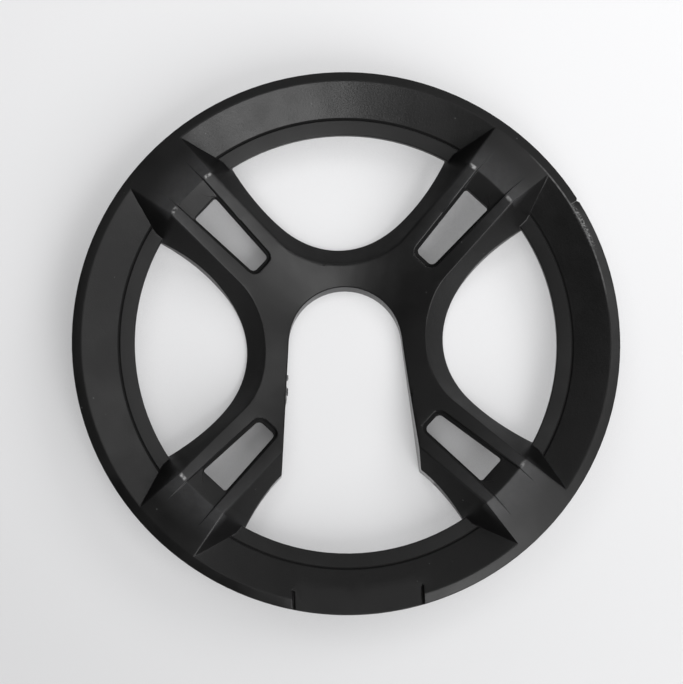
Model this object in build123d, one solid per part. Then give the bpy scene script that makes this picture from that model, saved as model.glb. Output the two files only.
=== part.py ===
"""Bicycle chain guard: a dished disc moulded in one piece, with four slotted arms and an opening for the crank.

The disc's axis is Z, and its outer face looks along +Z. It stands on the back of its hub, at Z = 0.
The crank opening points along -Y. Sizes are in millimetres, angles in degrees.
"""
import os
from math import asin, atan, cos, degrees, radians, sin, sqrt, tan

from build123d import *

# Dished faces: the arms rise from the hub to a crest, and fall from there to the rim
outer_radius = 91.0
crest_inset = 20.0
hub_height = 5.5
dish_angle = 22.0
rim_angle = 16.4

# Ring between the arms
ring_width = 20.4
ring_wall = 2.4
rim_width = 3.3
band_angle = 25.0
lip_width = 5.1
lip_angle = 16.0
groove_width = 0.8
groove_depth = 0.6

# Arms and windows
arm_count = 4
shell_wall = 2.6
arm_half_width = 9.7
window_tip_radius = 28.2
border_taper = 11.6
rim_border_taper = 45.0
wall_spread = 14.2
opening_tip_reach = 33.3
opening_half_length = 88.0
back_flat_radius = 48.0

# Slots, each in a shallow channel that runs out over the crest
slot_inner = 38.9
slot_end_gap = 6.5
slot_inner_half_width = 3.7
slot_side_angle = 3.0
slot_inner_round = 1.8
slot_outer_round = 0.9
channel_margin = 0.8
channel_end_margin = 1.3
channel_depth = 1.4
channel_crest_depth = 0.7
channel_runout = 9.5
channel_floor = 3.2

# Crank opening
crank_radius = 19.2
crank_flare = 5.2

# Flat on the rim, on the side of the crank opening, with a fine groove across each end
flat_length = 42.2
flat_inset = 4.0
end_groove_width = 0.7
end_groove_depth = 0.6
end_groove_gap = 1.3

# Nick that wear has left in the rim's edge
nick_angle = 29.0
nick_width = 1.8
nick_depth = 0.7

# Margin by which cutting shapes run past what they cut
past = 5.0

# Worked out from the sizes above
crest_radius = outer_radius - crest_inset
crest_height = hub_height + (crest_radius - crank_radius) * tan(radians(dish_angle))
ridge_radius = outer_radius - rim_width
lip_radius = outer_radius - ring_width
groove_radius = lip_radius + lip_width
flat_inner_radius = ridge_radius - flat_inset
slot_outer = crest_radius - slot_end_gap
channel_end_radius = crest_radius + channel_runout
pitch = 360 / arm_count
half_pitch = pitch / 2
opening_centre = opening_tip_reach + opening_half_length
opening_half_angle = half_pitch - wall_spread
opening_half_width = tan(radians(opening_half_angle)) * sqrt(opening_centre**2 - opening_half_length**2)
shell_drop = shell_wall / cos(radians(dish_angle))
bore_start = crank_radius - past
reach = 2 * outer_radius


def dish_height(radius):
    """Top of the arms inside the crest."""
    return crest_height - (crest_radius - radius) * tan(radians(dish_angle))


def rim_height(radius):
    """Top of the arms and the rim outside the crest."""
    return crest_height - (radius - crest_radius) * tan(radians(rim_angle))


def band_height(radius):
    """Top of the ring's band, which falls inwards from the ridge."""
    return rim_height(ridge_radius) - (ridge_radius - radius) * tan(radians(band_angle))


def lip_height(radius):
    """Top of the ring's inner lip."""
    return band_height(groove_radius) - (groove_radius - radius) * tan(radians(lip_angle))


def flat_height(radius):
    """Top of the flat on the rim."""
    inner_height = band_height(flat_inner_radius)
    fall = (inner_height - rim_height(outer_radius)) / (outer_radius - flat_inner_radius)
    return inner_height - (radius - flat_inner_radius) * fall


def turned(points):
    """Solid turned about the axis from an outline of (radius, height) points."""
    outline = Polyline([(radius, 0, height) for radius, height in points], close=True)
    return revolve(make_face(outline), Axis.Z)


def above(points):
    """Everything above a line of (radius, height) points."""
    top = crest_height + past
    return turned([*points, (points[-1][0], top), (points[0][0], top)])


def wedge(tip, half_angle, length, tip_round=0.0):
    """Wedge that opens along X from its tip, which may be rounded."""
    half_width = (length - tip) * tan(radians(half_angle))
    shape = Sketch() + make_face(Polyline((tip, 0), (length, -half_width), (length, half_width), close=True))
    if tip_round > 0:
        shape = fillet(shape.vertices().sort_by(Axis.X)[:1], tip_round)
    return shape


def upright(face):
    """The outline as an upright prism through the whole part."""
    return extrude(Pos(0, 0, -past) * face, crest_height + 2 * past)


def sloped_plane(origin, rise, lift=0.0):
    """Plane through a point on the XZ plane that climbs along X, lifted along its normal."""
    tilt = atan(rise)
    normal = Vector(-sin(tilt), 0, cos(tilt))
    return Plane(Vector(*origin) + normal * lift, x_dir=(cos(tilt), 0, sin(tilt)), z_dir=normal)


def window_border(grow):
    """Sloped border along the straight part of two arms and round the hub."""
    turn = radians(half_pitch)
    crest_along = sqrt(crest_radius**2 - arm_half_width**2)
    crest_x = crest_along * cos(turn) + arm_half_width * sin(turn)
    rise = tan(radians(dish_angle)) / cos(turn)
    slant = cos(atan(rise))
    half_angle = atan(tan(turn) * slant)
    widen = past * tan(radians(border_taper))
    tip = ((arm_half_width - grow) / sin(turn) - crest_x) / slant - widen / sin(half_angle)
    face = wedge(tip, degrees(half_angle), reach, window_tip_radius + grow + widen)
    plane = sloped_plane((crest_x, 0, crest_height), rise, past)
    return extrude(plane * face, -crest_height - past, taper=border_taper)


def rim_border(grow):
    """Sloped border along the outer ends of two arms, which widen like spokes."""
    spread = radians(half_pitch) - asin(arm_half_width / crest_radius)
    rise = -tan(radians(rim_angle)) / cos(spread)
    slant = cos(atan(rise))
    half_angle = atan(tan(spread) * slant)
    tip = -grow / sin(spread) / slant - past * tan(radians(rim_border_taper)) / sin(half_angle)
    face = wedge(tip, degrees(half_angle), reach)
    plane = sloped_plane((0, 0, rim_height(0)), rise, past)
    return extrude(plane * face, -crest_height, taper=rim_border_taper)


def window_wall(grow):
    """Upright wall of a window below its borders, part of a long ellipse."""
    return upright(Pos(opening_centre, 0) * Ellipse(opening_half_length + grow, opening_half_width + grow))


def windows(grow):
    """All windows, widened by grow on every side."""
    one = window_border(grow) + rim_border(grow) + window_wall(grow)
    return [Rot(0, 0, turn * pitch - 90) * one for turn in range(arm_count)]


def on_arms(shape):
    """The shape, made along X, on every arm."""
    return [Rot(0, 0, half_pitch + turn * pitch - 90) * shape for turn in range(arm_count)]


def slot_outline(start, end, margin, end_round):
    """Outline of a slot that widens outwards, with a margin on its sides."""
    side = tan(radians(slot_side_angle))
    inner = slot_inner_half_width + margin + (start - slot_inner) * side
    outer = slot_inner_half_width + margin + (end - slot_inner) * side
    corners = Polyline((start, -inner), (end, -outer), (end, outer), (start, inner), close=True)
    shape = Sketch() + make_face(corners)
    ends = shape.vertices().sort_by(Axis.X)
    shape = fillet(ends[:2], slot_inner_round + margin)
    if end_round > 0:
        shape = fillet(shape.vertices().sort_by(Axis.X)[-2:], end_round)
    return shape


def crank_outline(grow):
    """Outline of the crank opening: a round end, with sides that flare along -Y."""
    tip = -(crank_radius + grow) / sin(radians(crank_flare))
    return Rot(0, 0, -90) * wedge(tip, crank_flare, lip_radius - past, crank_radius + grow)


def make_spider():
    """Hub and arms, solid underneath."""
    body = turned([
        (bore_start, 0),
        (back_flat_radius, 0),
        (outer_radius, rim_height(outer_radius) - ring_wall),
        (outer_radius, rim_height(outer_radius)),
        (crest_radius, crest_height),
        (bore_start, dish_height(bore_start)),
    ])
    return body - windows(0)


def make_ring():
    """Ring with its rim, band, groove and lip, and the flat on the rim."""
    band_end = groove_radius + groove_width / 2
    lip_start = groove_radius - groove_width / 2
    body = turned([
        (outer_radius, rim_height(outer_radius)),
        (ridge_radius, rim_height(ridge_radius)),
        (band_end, band_height(band_end)),
        (groove_radius, band_height(groove_radius) - groove_depth),
        (lip_start, lip_height(lip_start)),
        (lip_radius, lip_height(lip_radius)),
        (lip_radius, lip_height(lip_radius) - ring_wall),
        (groove_radius, band_height(groove_radius) - ring_wall),
        (flat_inner_radius, band_height(flat_inner_radius) - ring_wall),
        (outer_radius, rim_height(outer_radius) - ring_wall),
    ])
    return body - make_rim_flat()


def make_hollow():
    """Hollow under the hub and arms, with walls left round the windows, the crank opening and the slots."""
    end = ridge_radius - ring_wall
    hollow = turned([
        (bore_start, -past),
        (end, -past),
        (end, rim_height(end) - ring_wall),
        (crest_radius, crest_height - shell_drop),
        (bore_start, dish_height(bore_start) - shell_drop),
    ])
    floor_drop = channel_depth + channel_floor
    pad_outline = slot_outline(
        slot_inner - channel_end_margin - shell_wall, channel_end_radius, channel_margin + shell_wall, 0)
    pad = upright(pad_outline) & above([
        (bore_start, dish_height(bore_start) - floor_drop),
        (crest_radius, crest_height - floor_drop),
        (ridge_radius, rim_height(ridge_radius) - channel_floor),
    ])
    return hollow - windows(shell_wall) - upright(crank_outline(shell_wall)) - on_arms(pad)


def make_channel():
    """Shallow channel round a slot, whose floor rises to the outer face beyond the crest."""
    outline = slot_outline(slot_inner - channel_end_margin, outer_radius, channel_margin, 0)
    return upright(outline) & above([
        (bore_start, dish_height(bore_start) - channel_depth),
        (slot_outer, dish_height(slot_outer) - channel_depth),
        (crest_radius, crest_height - channel_crest_depth),
        (channel_end_radius, rim_height(channel_end_radius)),
    ])


def rim_cut(start, depth, centre, width):
    """What lies above the flat, or a depth below it, from a radius outwards and on a width along X."""
    end = outer_radius + past
    shape = above([(start, flat_height(start) - depth), (end, flat_height(end) - depth)])
    return shape & upright(Pos(centre, -outer_radius) * Rectangle(width, 2 * crest_inset))


def make_rim_flat():
    """What the flat and the grooves across its ends take off the rim."""
    groove_start = flat_inner_radius + end_groove_gap
    flat = rim_cut(flat_inner_radius, 0, 0, flat_length)
    left_groove = rim_cut(groove_start, end_groove_depth, -flat_length / 2, end_groove_width)
    right_groove = rim_cut(groove_start, end_groove_depth, flat_length / 2, end_groove_width)
    return flat + left_groove + right_groove


def make_nick():
    """What is missing from the rim's edge at the nick."""
    end = outer_radius + past
    half_width = nick_width / 2 * (nick_depth + past) / nick_depth
    tip = outer_radius - nick_depth
    face = make_face(Polyline((tip, 0), (end, -half_width), (end, half_width), close=True))
    return Rot(0, 0, nick_angle) * upright(face)


guard = make_spider() + make_ring() - make_hollow()
guard = guard - upright(crank_outline(0)) - make_nick()
guard = guard - on_arms(make_channel())
guard = guard - on_arms(upright(slot_outline(slot_inner, slot_outer, 0, slot_outer_round)))
guard = guard.solid()
guard.label = "chain_guard"

os.makedirs("parts", exist_ok=True)
export_step(guard, "parts/chain_guard.step")
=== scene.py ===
"""Looks of the moulded chain guard: worn black plastic, a pale table, soft light and the camera."""
from math import atan2, cos, hypot, radians, sin

import bmesh
import bpy
from mathutils import Matrix, Vector, noise


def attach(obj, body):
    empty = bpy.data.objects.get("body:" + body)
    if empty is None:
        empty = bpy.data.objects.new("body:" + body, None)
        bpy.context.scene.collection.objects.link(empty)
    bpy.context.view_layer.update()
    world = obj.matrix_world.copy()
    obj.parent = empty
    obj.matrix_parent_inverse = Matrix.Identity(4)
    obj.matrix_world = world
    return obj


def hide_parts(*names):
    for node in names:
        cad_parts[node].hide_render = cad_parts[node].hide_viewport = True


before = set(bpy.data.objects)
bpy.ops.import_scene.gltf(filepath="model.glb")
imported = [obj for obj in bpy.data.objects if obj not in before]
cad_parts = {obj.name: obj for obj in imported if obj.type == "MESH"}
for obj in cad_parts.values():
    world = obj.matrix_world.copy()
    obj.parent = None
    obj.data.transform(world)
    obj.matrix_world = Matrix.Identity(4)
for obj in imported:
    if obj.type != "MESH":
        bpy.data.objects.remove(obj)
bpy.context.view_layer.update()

# Lengths are in metres and angles in radians, unless a comment says otherwise.
# Two numbers for a mask are half of what it covers and the soft edge beyond that.
# Where there are three, the mask's centre comes first.
# A span is where a change starts and where it ends. Two more numbers are the values at both ends.

# Photograph's width, in pixels
image_width = 683

# Camera, measured from a point on the guard's axis at the height of its outer edge. The sensor is in mm.
aim_height = 0.0205
camera_distance = 0.75
camera_tilt = 0.1491
camera_azimuth = radians(-105.4)
camera_roll = -0.0425
camera_offset = (-0.0018664, -0.0010794)
pixels_per_metre = 3017.4
sensor_width = 36.0

# Rounded edges of the moulding: smallest at the ring's groove, largest along the top window
groove_round = 0.00008
edge_round = 0.00035
rail_round = 0.0005
border_round = 0.00065
round_segments = 2

# Points closer than this are merged, flatter faces are joined, and blunter edges stay as they are
merge_distance = 2e-6
flat_angle = radians(0.3)
sharp_angle = radians(24)

# Upward part of a face's normal: more than the first counts as level, less than the second as upright
level_above = 0.9
upright_below = 0.2

# Forms of the guard: the arms' crest, the rise of the hub and the rails, the ridge, the groove and the nick
crest_radius = 0.0710
crest_height = 0.0264
dish_rise = 0.404
rail_offset = 0.0081
ridge_radius = 0.0877
rim_span = (0.0196, 0.0200)
groove_radius = 0.0757
groove_height = 0.0156
nick_turn = radians(29)
diagonal = 0.7071

# How far from these forms an edge or a point still counts as theirs
rail_margin = 0.0003
crest_margin = 0.001
groove_margins = (0.0006, 0.0008)
nick_inset = 0.002
nick_half_turn = radians(1.2)

# Channels round the slots: where they start along an arm, and their half width, which grows outwards
channel_start = 0.0376
channel_half_width = 0.00246
channel_spread = 0.0524

# Crank opening: its round end, how far that end's wall leans back, and the height above which it is moved
crank_radius = 0.0192
crank_lean = 0.00075
arch_low = 0.004

# Torn flash on the left wall of the crank opening: centre, half sizes, and turn about the upright axis.
# The last three shape the noise that makes it uneven.
flake = ((-0.02022, -0.0104, 0.0050), (0.00055, 0.0010, 0.0010), radians(-5))
strip = ((-0.02075, -0.0163, 0.0046), (0.00030, 0.0033, 0.0008), radians(-5))
sliver = ((-0.02028, -0.0151, 0.0048), (0.00025, 0.0013, 0.0007), radians(-3))
flash_lumps = 1.7
flash_unevenness = 0.35
flash_variety = 900.0

# Colours of the plastic, and the steady part of its gloss
plastic_dark = (0.0030, 0.0030, 0.0031, 1.0)
plastic_pale = (0.0062, 0.0060, 0.0061, 1.0)
dull_colour = (0.030, 0.030, 0.031, 1.0)
speck_colour = (0.050, 0.050, 0.050, 1.0)
rub_colour = (0.34, 0.34, 0.34, 1.0)
torn_dark = (0.05, 0.05, 0.05, 1.0)
torn_pale = (0.26, 0.26, 0.26, 1.0)
specular_level = 0.3

# Patterns: cells per metre, and for noises the layers of detail and the weight of the finer layers
grain_noise = (1500.0, 3.0, 0.65)
cloud_noise = (70.0, 4.0, 0.6)
smear_noise = (420.0, 3.0, 0.6)
chip_noise = (1500.0, 3.0, 0.7)
torn_noise = (900.0, 2.0, 0.5)
torn_span = (0.35, 0.65)
speck_scale = 250.0

# Moulded grain: its depth, and its share away from the borders and the band
grain_depth = 0.00005
faint_grain = 0.3

# Roughness over a span of noise, what is added on rough areas, and what is taken off glossy ones
plastic_roughness = (0.3, 0.7, 0.37, 0.46)
torn_roughness = (0.3, 0.7, 0.45, 0.65)
border_rougher = 0.37
right_border_rougher = 0.14
rim_rougher = 0.22
hollow_rougher = 0.5
polish = 0.2
satin = 0.09

# Half of the step from one area to the next, at the crest and the ridge
soft_step = 0.0003

# Rub on the crest: none on the lowest rails, and fainter on those at the far right
crest_rub_width = (0.0002, 0.0007)
rail_rub_width = (0.0006, 0.0010)
crest_rub_span = (0.0248, 0.0256)
crest_rub_smear = (0.34, 0.56)
unworn_span = (-0.050, -0.048)
faint_span = (0.050, 0.054, 1.0, 0.45)

# Worn line and chips on the ridge, with the turn that they lie at, and the scratch at the nick
ridge_line_width = (0.0001, 0.0003)
ridge_line_turn = (radians(24), radians(10), radians(12))
ridge_line_smear = (0.3, 0.6, 0.10, 0.30)
chip_offset = 0.0004
chip_width = (0.0003, 0.0009)
chip_turn = (radians(23.5), radians(2.0), radians(5.0))
chip_span = (0.42, 0.72, 0.0, 0.8)
scratch_width = (radians(0.04), radians(0.10))
scratch_rub = 0.3

# Specks, by their distance from the middle of a cell of the pattern and by the cells' lots
speck_span = (0.085, 0.045)
speck_lots = (0.84, 0.86)

# Dull areas: the arms' outer ends down to a depth under the crest, and a thin layer of the rails
dull_depth = 0.0038
dull_rail_span = (0.040, 0.079, 0.0, 0.6)
dull_layer = (0.0004, 0.0004)
dull_smear = (0.2, 0.8, 0.75, 1.25)

# Borders, the ring's band and upright walls, by the upward part of their normals
border_lean = (0.5, 0.22, 0.06)
border_end = (0.071, 0.067)
band_lean = (0.906, 0.008, 0.006)
wall_lean = (0.0, 0.15, 0.1)

# Parts of the ring and borders that are rougher or glossier, by their turn about the axis.
# The rim's start is measured from the ridge.
rim_start = (-0.0002, 0.0004)
rough_rim_start = (radians(27.5), radians(29.5))
rough_rim_end = (radians(80), radians(60))
satin_rim_turn = (radians(-127), radians(22), radians(4))
satin_band_turn = (radians(105), radians(18), radians(22))
right_window_turn = (0.0, radians(38), radians(8))

# Matt hollows: the groove, and the channels with the slots.
# A channel's sides and inner end are measured from its outline, and its drop from the rails.
groove_width = (0.0004, 0.0002)
groove_depth = (0.0006, 0.0003)
channel_side_span = (0.0005, 0.0002)
channel_inner_span = (-0.0005, -0.0002)
channel_outer_span = (0.0648, 0.0640)
channel_drop_span = (0.0003, 0.0006)
channel_low_span = (0.0035, 0.0045)

# Polished edges of the channels, measured from the channels' outline, and polished wall of the crank opening
polish_width = (0.0003, 0.0002)
polish_start = (0.0020, 0.0026)
polish_inner_width = (0.0019, 0.0003)
polish_height = (0.0004, 0.0001)
polish_end = (0.0705, 0.0695)
crank_wall_x = (0.0, 0.0270, 0.0010)
crank_wall_y = (-0.0160, 0.0360, 0.0010)

# Table: half its size, its own colour, and its glow, which changes over the reach and fades under the guard
table_half_size = 3.0
table_colour = (0.8, 0.8, 0.81, 1.0)
table_roughness = 0.6
glow_colour = (0.99, 0.99, 1.0, 1.0)
glow_reach = 0.16
glow_sideways = (-0.09, 0.13)
glow_upwards = (0.63, 1.00)
glow_share = 0.5
shade_reach = 0.05
shade_span = (-0.1, 0.65)
shade_samples = 5

# Room: the strength of its own light, and what a low view sees of it close to the horizon
room_colour = (1.0, 1.0, 1.0, 1.0)
room_light = 0.02
horizon_span = (0.03, 0.16, 0.5, 0.0)

# Softboxes: tilt from straight up, azimuth, width and height, and power in watts
lamp_distance = 1.3
softboxes = {
    "main": (radians(45), radians(-71), (0.5, 1.1), 10.9),
    "second": (radians(45), radians(-42), (0.5, 1.1), 5.7),
    "side": (radians(43), radians(27), (0.9, 0.6), 5.4),
    "fill": (radians(25), radians(125), (0.7, 0.5), 2.4),
    "over": (radians(6), radians(-90), (0.6, 0.5), 1.0),
    "back": (radians(58), radians(90), (0.8, 0.5), 1.1),
}


class Nodes:
    """Node tree of a material or the room, with short ways to add and join its nodes."""

    def __init__(self, tree):
        self.tree = tree

    def add(self, kind, inputs=None, **settings):
        """New node. Inputs are sockets to join or plain values, by socket name or number."""
        node = self.tree.nodes.new("ShaderNode" + kind)
        for name, value in settings.items():
            setattr(node, name, value)
        for name, value in (inputs or {}).items():
            self.give(node.inputs[name], value)
        return node

    def give(self, socket, value):
        """Join an output to a socket, or set the socket's own value."""
        if isinstance(value, bpy.types.NodeSocket):
            self.tree.links.new(value, socket)
        else:
            socket.default_value = value

    def math(self, operation, first, second=0.0):
        """Result of an operation on one or two values."""
        return self.add("Math", {0: first, 1: second}, operation=operation).outputs[0]

    def ramp(self, value, low, high, start=0.0, end=1.0):
        """Smooth step of a value from start, at low, to end, at high."""
        sizes = {"Value": value, "From Min": low, "From Max": high, "To Min": start, "To Max": end}
        return self.add("MapRange", sizes, interpolation_type="SMOOTHSTEP").outputs["Result"]

    def near(self, value, centre, half, soft):
        """Mask of 1 where a value is within half of the centre, and that fades out over soft."""
        away = self.math("ABSOLUTE", self.math("SUBTRACT", value, centre))
        return self.ramp(away, half, half + soft, 1.0, 0.0)

    def both(self, *masks):
        """Product of masks."""
        result = masks[0]
        for mask in masks[1:]:
            result = self.math("MULTIPLY", result, mask)
        return result

    def either(self, *masks):
        """Largest of masks."""
        result = masks[0]
        for mask in masks[1:]:
            result = self.math("MAXIMUM", result, mask)
        return result

    def noise(self, vector, scale, detail, roughness):
        """Noise about a half."""
        sizes = {"Vector": vector, "Scale": scale, "Detail": detail, "Roughness": roughness}
        return self.add("TexNoise", sizes).outputs["Fac"]

    def seen(self):
        """Mask of the rays that show a surface: seen straight, in a reflection or through glass."""
        ray = self.add("LightPath").outputs
        return self.either(ray["Is Camera Ray"], ray["Is Glossy Ray"], ray["Is Transmission Ray"])

    def mix(self, amount, first, second):
        """Colour between two colours, which are the node's sockets 6 and 7."""
        node = self.add("Mix", data_type="RGBA")
        self.give(node.inputs[0], amount)
        self.give(node.inputs[6], first)
        self.give(node.inputs[7], second)
        return node.outputs[2]


class Place:
    """Where a point of the guard is: by its axes, about the guard's axis, on an arm, and how it leans."""

    def __init__(self, tree):
        self.point = tree.add("TexCoord").outputs["Object"]
        self.x, self.y, self.z = tree.add("SeparateXYZ", {0: self.point}).outputs
        level = tree.add("VectorMath", {0: self.point, 1: (1.0, 1.0, 0.0)}, operation="MULTIPLY")
        self.radius = tree.add("VectorMath", {0: level.outputs[0]}, operation="LENGTH").outputs["Value"]
        self.turn = tree.math("ARCTAN2", self.y, self.x)
        sideways = tree.math("ABSOLUTE", self.x)
        upwards = tree.math("ABSOLUTE", self.y)
        self.along = tree.math("MULTIPLY", tree.math("ADD", sideways, upwards), diagonal)
        uneven = tree.math("ABSOLUTE", tree.math("SUBTRACT", sideways, upwards))
        self.across = tree.math("MULTIPLY", uneven, diagonal)
        spread = tree.math("MULTIPLY", self.along, channel_spread)
        channel_side = tree.math("ADD", spread, channel_half_width)
        self.beside_channel = tree.math("SUBTRACT", self.across, channel_side)
        rise = tree.math("MULTIPLY", self.radius, dish_rise)
        self.rail_height = tree.math("ADD", rise, rail_level(0.0))
        self.lean = tree.add("SeparateXYZ", {0: tree.add("TexCoord").outputs["Normal"]}).outputs[2]
        self.on_rim = tree.ramp(self.z, *rim_span)
        self.smear = tree.noise(self.point, *smear_noise)


def rail_level(radius):
    """Height of the hub and the rails inside the crest."""
    return crest_height - (crest_radius - radius) * dish_rise


def new_material(name):
    """Material with its nodes and its Principled shader."""
    material = bpy.data.materials.new(name)
    material.use_nodes = True
    return material, Nodes(material.node_tree), material.node_tree.nodes["Principled BSDF"]


def crest_rub(tree, at):
    """Pale rub where the rails cross the crest."""
    return tree.both(
        tree.near(at.radius, crest_radius, *crest_rub_width),
        tree.near(at.across, rail_offset, *rail_rub_width),
        tree.ramp(at.z, *crest_rub_span),
        tree.ramp(at.y, *unworn_span),
        tree.ramp(at.x, *faint_span),
        tree.ramp(at.smear, *crest_rub_smear),
    )


def ridge_rub(tree, at):
    """Worn line and chips on the ridge, and the scratch that runs from the nick to the ridge."""
    line = tree.both(
        tree.near(at.radius, ridge_radius, *ridge_line_width),
        tree.near(at.turn, *ridge_line_turn),
        tree.ramp(at.smear, *ridge_line_smear),
    )
    chips = tree.both(
        tree.near(at.radius, ridge_radius + chip_offset, *chip_width),
        tree.near(at.turn, *chip_turn),
        tree.ramp(tree.noise(at.point, *chip_noise), *chip_span),
    )
    scratch = tree.both(
        tree.near(at.turn, nick_turn, *scratch_width),
        tree.ramp(at.radius, ridge_radius - soft_step, ridge_radius + soft_step, 0.0, scratch_rub),
    )
    return tree.both(at.on_rim, tree.either(line, chips, scratch))


def specks(tree, at):
    """Small pale specks, in a few of the cells of a pattern."""
    cells = tree.add("TexVoronoi", {"Vector": at.point, "Scale": speck_scale}).outputs
    lot = tree.add("SeparateXYZ", {0: cells["Color"]}).outputs[0]
    return tree.both(tree.ramp(cells["Distance"], *speck_span), tree.ramp(lot, *speck_lots))


def dull_areas(tree, at):
    """Dull outer ends of the arms, and the rails, which get duller towards the crest."""
    outside = tree.ramp(at.radius, crest_radius - soft_step, crest_radius + soft_step)
    ends = tree.both(outside, tree.ramp(at.z, crest_height - dull_depth, crest_height))
    rails = tree.both(
        tree.math("SUBTRACT", 1.0, outside),
        tree.ramp(at.radius, *dull_rail_span),
        tree.near(at.z, at.rail_height, *dull_layer),
    )
    return tree.both(tree.math("ADD", ends, rails), tree.ramp(at.smear, *dull_smear))


def matt_hollows(tree, at):
    """The ring's groove, and the channels with the slots in them."""
    groove = tree.both(
        tree.near(at.radius, groove_radius, *groove_width),
        tree.near(at.z, groove_height, *groove_depth),
    )
    start, end = channel_inner_span
    channel = tree.both(
        tree.ramp(at.beside_channel, *channel_side_span),
        tree.ramp(at.along, channel_start + start, channel_start + end),
        tree.ramp(at.radius, *channel_outer_span),
        tree.ramp(tree.math("SUBTRACT", at.rail_height, at.z), *channel_drop_span),
        tree.ramp(at.z, *channel_low_span),
    )
    return tree.either(groove, channel)


def polished_areas(tree, at):
    """Upper edges of the channels, and the wall of the crank opening."""
    start, end = polish_start
    sides = tree.both(
        tree.near(at.beside_channel, 0.0, *polish_width),
        tree.ramp(at.along, channel_start + start, channel_start + end),
    )
    inner_ends = tree.both(
        tree.near(at.along, channel_start, *polish_width),
        tree.near(at.across, 0.0, *polish_inner_width),
    )
    edges = tree.both(
        tree.either(sides, inner_ends),
        tree.near(at.z, at.rail_height, *polish_height),
        tree.ramp(at.radius, *polish_end),
    )
    wall = tree.both(
        tree.near(at.lean, *wall_lean),
        tree.near(at.x, *crank_wall_x),
        tree.near(at.y, *crank_wall_y),
    )
    return tree.either(wall, edges)


def make_roughness(tree, at, cloud, border, band):
    """Roughness of the plastic: cloudy, with rougher and glossier areas."""
    start, end = rim_start
    rim = tree.both(at.on_rim, tree.ramp(at.radius, ridge_radius + start, ridge_radius + end))
    rough_rim = tree.both(rim, tree.ramp(at.turn, *rough_rim_start), tree.ramp(at.turn, *rough_rim_end))
    right = tree.near(at.turn, *right_window_turn)
    rougher = tree.either(
        tree.both(border, tree.ramp(right, 0.0, 1.0, border_rougher, right_border_rougher)),
        tree.both(rough_rim, rim_rougher),
    )
    glossier = tree.either(
        tree.both(band, tree.near(at.turn, *satin_band_turn)),
        tree.both(rim, tree.near(at.turn, *satin_rim_turn)),
    )
    roughness = tree.math("ADD", tree.ramp(cloud, *plastic_roughness), rougher)
    roughness = tree.math("ADD", roughness, tree.both(matt_hollows(tree, at), hollow_rougher))
    roughness = tree.math("SUBTRACT", roughness, tree.both(polished_areas(tree, at), polish))
    return tree.math("SUBTRACT", roughness, tree.both(glossier, satin))


def make_plastic():
    """Black plastic with a moulded grain, pale rubs and specks, and dull, matt and glossy areas."""
    material, tree, shader = new_material("black_plastic")
    at = Place(tree)
    grain = tree.noise(at.point, *grain_noise)
    cloud = tree.noise(at.point, *cloud_noise)
    border = tree.both(tree.near(at.lean, *border_lean), tree.ramp(at.radius, *border_end))
    band = tree.near(at.lean, *band_lean)
    colour = tree.mix(cloud, plastic_dark, plastic_pale)
    colour = tree.mix(dull_areas(tree, at), colour, dull_colour)
    colour = tree.mix(specks(tree, at), colour, speck_colour)
    colour = tree.mix(tree.either(crest_rub(tree, at), ridge_rub(tree, at)), colour, rub_colour)
    relief = tree.ramp(tree.either(border, band), 0.0, 1.0, faint_grain, 1.0)
    bump = tree.add("Bump", {"Strength": relief, "Distance": grain_depth, "Height": grain})
    tree.give(shader.inputs["Base Color"], colour)
    tree.give(shader.inputs["Roughness"], make_roughness(tree, at, cloud, border, band))
    tree.give(shader.inputs["Normal"], bump.outputs["Normal"])
    shader.inputs["Specular IOR Level"].default_value = specular_level
    return material


def make_torn_plastic():
    """The plastic where it is torn, which has turned pale."""
    material, tree, shader = new_material("torn_plastic")
    patches = tree.noise(tree.add("TexCoord").outputs["Object"], *torn_noise)
    tree.give(shader.inputs["Base Color"], tree.mix(tree.ramp(patches, *torn_span), torn_dark, torn_pale))
    tree.give(shader.inputs["Roughness"], tree.ramp(patches, *torn_roughness))
    return material


def lean_arch(mesh):
    """Lean back the wall at the round end of the crank opening, by moving its upper edge along the hub."""
    for vertex in mesh.verts:
        radius = hypot(vertex.co.x, vertex.co.y)
        if vertex.co.y > 0 and vertex.co.z > arch_low and radius < crank_radius + rail_margin:
            vertex.co.y += crank_lean * min(1.0, 2 * vertex.co.y / crank_radius)
            vertex.co.z += (hypot(vertex.co.x, vertex.co.y) - radius) * dish_rise


def edge_size(edge):
    """Round of an edge: none where faces nearly line up and on the nick, and most along the top window."""
    if len(edge.link_faces) != 2 or edge.calc_face_angle() < sharp_angle:
        return 0.0
    x, y, z = (edge.verts[0].co + edge.verts[1].co) / 2
    radius = hypot(x, y)
    if radius > ridge_radius + nick_inset and abs(atan2(y, x) - nick_turn) < nick_half_turn:
        return 0.0
    groove_beside, groove_above = groove_margins
    if abs(radius - groove_radius) < groove_beside and abs(z - groove_height) < groove_above:
        return groove_round
    lower, upper = sorted(face.normal.z for face in edge.link_faces)
    on_rail = radius <= crest_radius - crest_margin and abs(z - rail_level(radius)) <= rail_margin
    if upper < level_above or not on_rail:
        return edge_round
    if lower < upright_below:
        return rail_round
    if abs(x) < y:
        return border_round
    return edge_round


def link_piece(name, mesh, material):
    """Object made from a finished mesh, in the scene and with its material."""
    data = bpy.data.meshes.new(name)
    mesh.to_mesh(data)
    mesh.free()
    piece = bpy.data.objects.new(name, data)
    data.materials.append(material)
    bpy.context.scene.collection.objects.link(piece)
    return piece


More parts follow.
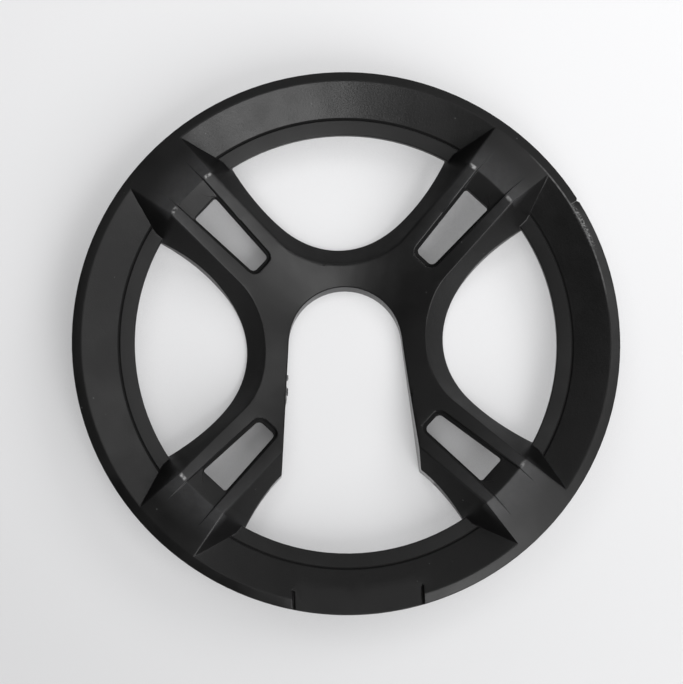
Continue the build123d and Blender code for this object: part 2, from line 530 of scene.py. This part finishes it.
def make_guard(material):
    """The moulding, with the small rounds that its edges have."""
    mesh = bmesh.new()
    mesh.from_mesh(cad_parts["chain_guard"].data)
    bmesh.ops.remove_doubles(mesh, verts=mesh.verts, dist=merge_distance)
    bmesh.ops.dissolve_limit(mesh, angle_limit=flat_angle, verts=mesh.verts, edges=mesh.edges)
    lean_arch(mesh)
    mesh.normal_update()
    for face in mesh.faces:
        face.smooth = True
        face.material_index = 0
    share = mesh.edges.layers.float.new("bevel_weight_edge")
    for edge in mesh.edges:
        edge[share] = edge_size(edge) / border_round
    guard = link_piece("moulding", mesh, material)
    rounding = guard.modifiers.new("edge_rounds", "BEVEL")
    rounding.width = border_round
    rounding.segments = round_segments
    rounding.limit_method = "WEIGHT"
    rounding.use_clamp_overlap = False
    shading = guard.modifiers.new("flat_faces_first", "WEIGHTED_NORMAL")
    shading.mode = "FACE_AREA"
    shading.weight = 100
    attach(guard, "root")
    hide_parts("chain_guard")


def add_flash(name, material, centre, half_size, turn):
    """Flake of torn flash on the wall of the crank opening."""
    mesh = bmesh.new()
    bmesh.ops.create_icosphere(mesh, subdivisions=3, radius=1.0)
    for vertex in mesh.verts:
        lump = noise.noise(vertex.co * flash_lumps + Vector(centre) * flash_variety)
        vertex.co *= 1.0 + flash_unevenness * lump
    place = Matrix.Translation(centre) @ Matrix.Rotation(turn, 4, "Z") @ Matrix.Diagonal((*half_size, 1.0))
    bmesh.ops.transform(mesh, matrix=place, verts=mesh.verts)
    for face in mesh.faces:
        face.smooth = True
    flash = link_piece(name, mesh, material)
    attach(flash, "root")


def make_table_white():
    """Pale table top. Part of what is seen of it is its own pale glow, which fades under the guard."""
    material, tree, shader = new_material("table_white")
    shader.inputs["Base Color"].default_value = table_colour
    shader.inputs["Roughness"].default_value = table_roughness
    axes = tree.add("SeparateXYZ", {0: tree.add("TexCoord").outputs["Object"]}).outputs
    sideways = tree.ramp(axes[0], -glow_reach, glow_reach, *glow_sideways)
    upwards = tree.ramp(axes[1], -glow_reach, glow_reach, *glow_upwards)
    above = tree.add("AmbientOcclusion", {"Distance": shade_reach}, samples=shade_samples)
    open_above = tree.ramp(above.outputs["AO"], *shade_span)
    strength = tree.both(tree.math("ADD", sideways, upwards), open_above)
    glow = tree.add("Emission", {"Color": glow_colour, "Strength": strength})
    share = tree.both(tree.seen(), glow_share)
    surface = tree.add("MixShader", {0: share, 1: shader.outputs[0], 2: glow.outputs[0]})
    tree.give(material.node_tree.nodes["Material Output"].inputs["Surface"], surface.outputs[0])
    return material


def make_table():
    """Table under the guard."""
    mesh = bmesh.new()
    bmesh.ops.create_grid(mesh, x_segments=1, y_segments=1, size=table_half_size)
    table = link_piece("table", mesh, make_table_white())


def make_room():
    """Dim room that is pale close to the horizon, where a low view looks past the table's edge."""
    world = bpy.data.worlds.new("room")
    world.use_nodes = True
    tree = Nodes(world.node_tree)
    height = tree.add("SeparateXYZ", {0: tree.add("TexCoord").outputs["Generated"]}).outputs[2]
    horizon = tree.both(tree.seen(), tree.ramp(height, *horizon_span))
    background = world.node_tree.nodes["Background"]
    background.inputs["Color"].default_value = room_colour
    tree.give(background.inputs["Strength"], tree.either(horizon, room_light))
    bpy.context.scene.world = world


def add_softbox(name, tilt, azimuth, size, power):
    """Softbox above the table, tilted away from straight up, that looks at the guard."""
    lamp = bpy.data.lights.new(name, "AREA")
    lamp.shape = "RECTANGLE"
    lamp.size, lamp.size_y = size
    lamp.energy = power
    box = bpy.data.objects.new(name, lamp)
    away = Vector((sin(tilt) * cos(azimuth), sin(tilt) * sin(azimuth), cos(tilt)))
    box.location = away * lamp_distance
    box.rotation_euler = (-away).to_track_quat("-Z", "Y").to_euler()
    bpy.context.scene.collection.objects.link(box)


def make_camera():
    """Camera at the photograph's place and angle."""
    back = Vector((
        sin(camera_tilt) * cos(camera_azimuth),
        sin(camera_tilt) * sin(camera_azimuth),
        cos(camera_tilt),
    ))
    upward = Vector((-sin(camera_roll), cos(camera_roll), 0.0))
    right = upward.cross(back).normalized()
    up = back.cross(right)
    place = back * camera_distance + right * camera_offset[0] + up * camera_offset[1]
    place.z += aim_height
    lens = bpy.data.cameras.new("camera")
    lens.sensor_fit = "HORIZONTAL"
    lens.sensor_width = sensor_width
    lens.lens = pixels_per_metre * camera_distance / image_width * sensor_width
    camera = bpy.data.objects.new("camera", lens)
    turn = Matrix((right, up, back)).transposed().to_4x4()
    camera.matrix_world = Matrix.Translation(place) @ turn
    bpy.context.scene.collection.objects.link(camera)
    bpy.context.scene.camera = camera


plastic = make_plastic()
torn_plastic = make_torn_plastic()
make_guard(plastic)
add_flash("flash_flake", torn_plastic, *flake)
add_flash("flash_strip", torn_plastic, *strip)
add_flash("flash_sliver", plastic, *sliver)
make_table()
make_room()
for name, settings in softboxes.items():
    add_softbox(name, *settings)
make_camera()
bpy.context.scene.view_settings.view_transform = "Standard"
